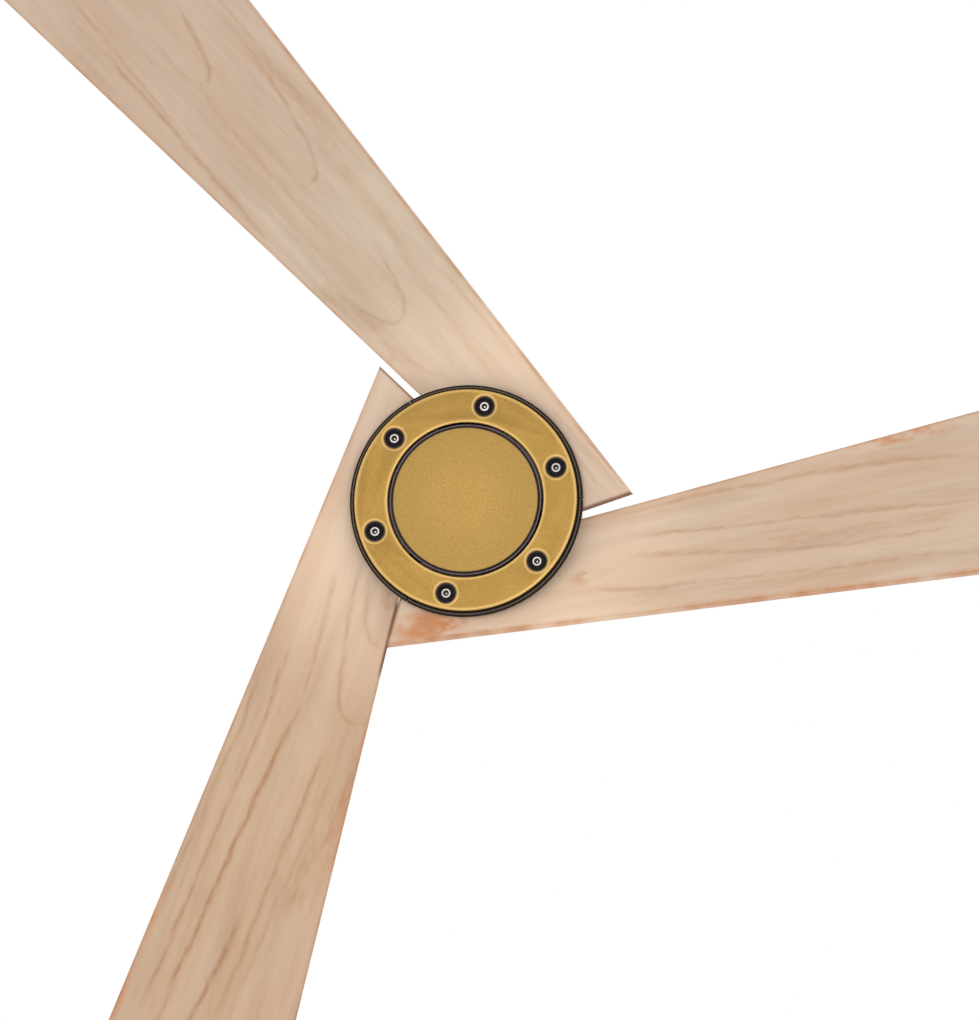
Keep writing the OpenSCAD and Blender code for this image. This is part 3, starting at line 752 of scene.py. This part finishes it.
def refined(node, name, rounding, place=Matrix.Identity(4)):
    """The CAD node's own shape in the frame place, with its sharp edges rounded."""
    mesh = bmesh.new()
    mesh.from_mesh(nodes[node].data)
    bmesh.ops.transform(mesh, matrix=place.inverted(), verts=mesh.verts)
    bmesh.ops.remove_doubles(mesh, verts=mesh.verts, dist=CAD_WELD)
    bmesh.ops.dissolve_limit(mesh, angle_limit=FLAT_ANGLE, verts=mesh.verts, edges=mesh.edges)
    edges = [e for e in mesh.edges if len(e.link_faces) == 2
             and e.calc_face_angle(0) > SHARP_ANGLE]
    bmesh.ops.bevel(mesh, geom=edges, offset=rounding, segments=3, profile=0.5, affect="EDGES",
                    clamp_overlap=True)
    for edge in mesh.edges:
        edge.smooth = True
    return object_from(mesh, name, BEVEL_SMOOTH_ANGLE, place)


def dress(piece, material, slot, body, *replaced):
    """Gives a piece its material, and puts it on its body in place of CAD nodes. slot is not used.
    """
    piece.data.materials.append(material)
    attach(piece, body)
    if replaced:
        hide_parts(*replaced)
    return piece


def coat_nodes(material, *names):
    """Gives carried-over CAD nodes their material."""
    for name in names:
        node = nodes[name]
        if not node.material_slots:
            node.data.materials.append(material)
        for slot in node.material_slots:
            slot.material = material


# ---- pieces ----

def blade_frame(number):
    """A blade's own frame, in the fan's."""
    return (
        Matrix.Rotation(math.radians(BLADE_TURN + 120 * number), 4, "Z")
        @ Matrix.Translation((0, BLADE_OFFSET, BLADE_Z))
        @ Matrix.Rotation(math.radians(-BLADE_RISE), 4, "Y")
        @ Matrix.Rotation(math.radians(-BLADE_PITCH), 4, "X")
    )


def make_blades():
    for number, wood in enumerate((right_blade_wood, left_blade_wood, upper_blade_wood)):
        node = f"blade_{number + 1}"
        place = blade_frame(number)
        piece = refined(node, f"wooden_{node}", 1.2 * MM, place)
        dress(piece, wood(inner_corners(node, place)), "pale_wood", "rotor", node)


def inner_corners(node, place):
    """The two corners of a blade's inner end, in millimetres in its own frame."""
    inverse = place.inverted()
    points = [inverse @ vert.co / MM for vert in nodes[node].data.vertices]
    corners = []
    # On each side of the middle, the point furthest back and nearest its long edge's line
    for side in (-1, 1):
        near_edge = [p for p in points if p.y * side > 20]
        corner = min(near_edge, key=lambda p: p.x + p.y * side * 0.4)
        corners.append((corner.x, corner.y))
    return corners


def screw_places():
    for number in range(6):
        turn = SCREW_ANGLE + number * math.pi / 3
        yield SCREW_CIRCLE * math.cos(turn), SCREW_CIRCLE * math.sin(turn)


def make_screws(steel, dark):
    """Socket-head screws with rounded rims and tapered hexagonal sockets, the sockets coloured
    black as painted shade.
    """
    head, rim, key, shank = 4.15 * MM, 0.65 * MM, 2.25 * MM, 2.5 * MM
    seat, top = SCREW_SEAT_Z, screw_high.z
    low, floor = seat - 5 * MM, seat - 1.9 * MM
    profile = [(0, floor + 0.8 * MM), (0.9 * MM, floor + 0.5 * MM), (key, floor),
               (key, low + 0.45 * MM), (key + 0.4 * MM, low)]
    profile += arc_points((head - rim, low + rim), rim, -90, 0)
    profile += [(head, seat), (shank, seat), (shank, top - 0.5 * MM), (shank - 0.5 * MM, top),
                (0, top)]
    mesh = bmesh.new()
    for centre in screw_places():
        before = set(mesh.faces)
        sweep(mesh, profile, centre, steps=48, six_sided=(2, 3))
        for face in set(mesh.faces) - before:
            middle = face.calc_center_median()
            reach = math.hypot(middle.x - centre[0], middle.y - centre[1])
            # The socket's walls and floor, out to its hexagon's corners, take the second material,
            # black as painted shade
            inside = 0.7 * MM < reach < key * 1.16 and low + 0.3 * MM < middle.z < seat
            face.material_index = 1 if inside else 0
    screws = swept_object(mesh, "socket_head_screws")
    dress(screws, steel, "bright_steel", "rotor", "clamp_screws")
    screws.data.materials.append(dark)


def make_cups(rubber):
    """Black cups with a rolled rim, a rounded floor and one low rib round the screw."""
    seat, low = cup_high.z, FACE_Z + 0.35 * MM
    wall, roll, floor = WELL_R - 0.05 * MM, 0.5 * MM, seat - 1.5 * MM
    hole, corner, rib, rib_at = 2.9 * MM, 0.8 * MM, 0.4 * MM, 5.8 * MM
    profile = [(hole, seat), (wall, seat), (wall, low + roll)]
    profile += arc_points((wall - roll, low + roll), roll, 0, -180)
    profile += arc_points((wall - 2 * roll - corner, floor - corner), corner, 0, 90)
    profile += arc_points((rib_at, floor - 0.5 * MM), rib, 0, -180)
    profile += [(rib_at - rib, floor), (hole, floor), (hole, seat)]
    mesh = bmesh.new()
    for centre in screw_places():
        sweep(mesh, profile, centre, steps=48)
    dress(swept_object(mesh, "rolled_well_cups"), rubber, "black_plastic", "rotor", "well_cups")


def make_plate_and_cap():
    plate = refined("clamp_plate", "brushed_clamp_plate", 0.35 * MM)
    dress(plate, plate_brass(), "aged_brass", "rotor", "clamp_plate")

    edge, wall, face_t = 0.7 * MM, 2 * MM, 2.5 * MM
    profile = [(0, FACE_Z), (CAP_R - edge - 6 * MM, FACE_Z + 0.025 * MM)]
    profile += arc_points((CAP_R - edge, FACE_Z + edge), edge, -90, 0, 8)
    profile += [(CAP_R, cap_high.z), (CAP_R - wall, cap_high.z),
                (CAP_R - wall, FACE_Z + face_t), (0, FACE_Z + face_t)]
    cap = lathe("satin_centre_cap", profile)
    dress(cap, cap_brass(), "aged_brass", "hung_motor", "centre_cap")


def make_groove_ring(black, groove_highlight):
    """A black channel in the groove round the cap, and a rounded bead that stands in it, its pale
    grey a painted highlight on black rubber.
    """
    inner, outer = CAP_R + 0.05 * MM, CAP_R + 2.8 * MM
    low, high = FACE_Z + 2.6 * MM, FACE_Z + 6 * MM
    profile = [(inner, high), (inner, low), (outer, low), (outer, high)]
    channel = lathe("groove_channel", closed(profile))
    dress(channel, black, "black_rubber", "hung_motor", "cap_edge_ring")
    # The bead's pale grey material is a painted highlight
    profile = bead_profile(CAP_R + 2.2 * MM, 0.55 * MM, low + 0.4 * MM, FACE_Z + 1.2 * MM)
    dress(lathe("groove_bead", profile), groove_highlight, "black_rubber", "hung_motor")


def make_lip_beads():
    """A bead along each third of the lip, with the lip's own seams left open."""
    middle, gap = (PLATE_R + LIP_R) / 2 + 0.05 * MM, 0.45
    profile = bead_profile(middle, 0.66 * MM, LIP_Z + 0.4 * MM, LIP_Z - 0.3 * MM)
    material = ribbed_bead()
    for number in range(3):
        start = 120 * number
        piece = lathe(f"lip_bead_{number + 1}", profile, start=start + gap,
                      end=start + 120 - gap, steps=96)
        dress(piece, material, "black_rubber", "rotor")


def make_everything():
    steel = speckled("screw_steel", srgb(206, 202, 195), srgb(140, 136, 130), 700.0, 1.0,
                     (0.22, 0.36))
    rubber = speckled("black_cup", srgb(44, 38, 41), srgb(14, 12, 13), 900.0, 0.0, (0.6, 0.85),
                      0.0002, 0.8)
    # Painted highlight: the groove bead's pale grey stands for light on black rubber
    groove_highlight = speckled("groove_painted_highlight", srgb(112, 98, 104), srgb(76, 64, 70), 500.0, 0.0, (0.45, 0.65))
    lip = speckled("lip_black", srgb(18, 15, 14), srgb(8, 7, 6), 600.0, 0.0, (0.6, 0.8),
                   specular=0.25)
    bronze = cast_metal("carrier_bronze", srgb(92, 78, 60), srgb(48, 40, 30))
    housing = speckled("housing_brass", srgb(188, 154, 88), srgb(146, 115, 60), 500.0, 1.0,
                       (0.3, 0.46), 0.00005, 0.5)
    rod = turned("turned_brass", srgb(206, 170, 96), srgb(160, 124, 60))
    bright = turned("bright_steel", srgb(206, 207, 208), srgb(150, 151, 153))
    dark = speckled("dark_steel", srgb(86, 88, 92), srgb(48, 49, 52), 500.0, 1.0, (0.36, 0.5))
    # Painted shade: black for the inside of the steel screw sockets
    socket = speckled("socket_painted_shade", srgb(44, 40, 40), srgb(20, 18, 18), 700.0, 0.0, (0.4, 0.6))
    zinc = speckled("zinc_steel", srgb(188, 192, 196), srgb(138, 143, 148), 90.0, 1.0,
                    (0.3, 0.5), 0.00003)
    cast = cast_metal("cast_aluminium", srgb(182, 183, 185), srgb(124, 125, 128))
    white = speckled("white_plastic", srgb(236, 235, 230), srgb(214, 213, 207), 700.0, 0.0,
                     (0.4, 0.55))
    ball = speckled("black_ball", srgb(40, 40, 42), srgb(20, 20, 22), 500.0, 0.0, (0.35, 0.5))
    magnet = speckled("magnet_grey", srgb(110, 112, 116), srgb(72, 74, 78), 400.0, 1.0, (0.3, 0.5))

    make_blades()
    make_plate_and_cap()
    make_groove_ring(rubber, groove_highlight)
    make_lip_beads()
    make_screws(steel, socket)
    make_cups(rubber)
    coat_nodes(lip, "wedge_pad_1", "wedge_pad_2", "wedge_pad_3")
    coat_nodes(bronze, "blade_carrier")
    coat_nodes(housing, "motor_housing", "canopy", "coupling_cover", "canopy_screws")
    coat_nodes(rod, "downrod", "board_spacers", "carrier_inserts", "upper_bearing_cage",
               "lower_bearing_cage")
    coat_nodes(bright, "motor_shaft", "upper_inner_race", "upper_outer_race", "lower_inner_race",
               "lower_outer_race", "upper_bearing_balls", "lower_bearing_balls", "shaft_spacers")
    coat_nodes(zinc, "hanger_bracket", "ball_cross_pin", "coupling_pin", "coupling_split_ring",
               "carrier_screws", "shell_screws", "housing_screws", "adapter_nut", "cap_studs")
    coat_nodes(dark, "coupling_set_screws", "shaft_circlip", "stator_core", "back_iron_ring")
    coat_nodes(cast, "rotor_top_shell", "rotor_bottom_shell", "rod_coupling", "cap_adapter")
    coat_nodes(white, "remote_receiver")
    coat_nodes(ball, "hanger_ball")
    coat_nodes(rubber, "blade_grommets")
    coat_nodes(magnet, "rotor_magnets")
    coat_nodes(copper_winding(), "stator_coils")
    coat_nodes(board_green(), "driver_board")


make_camera()
make_studio()
make_everything()
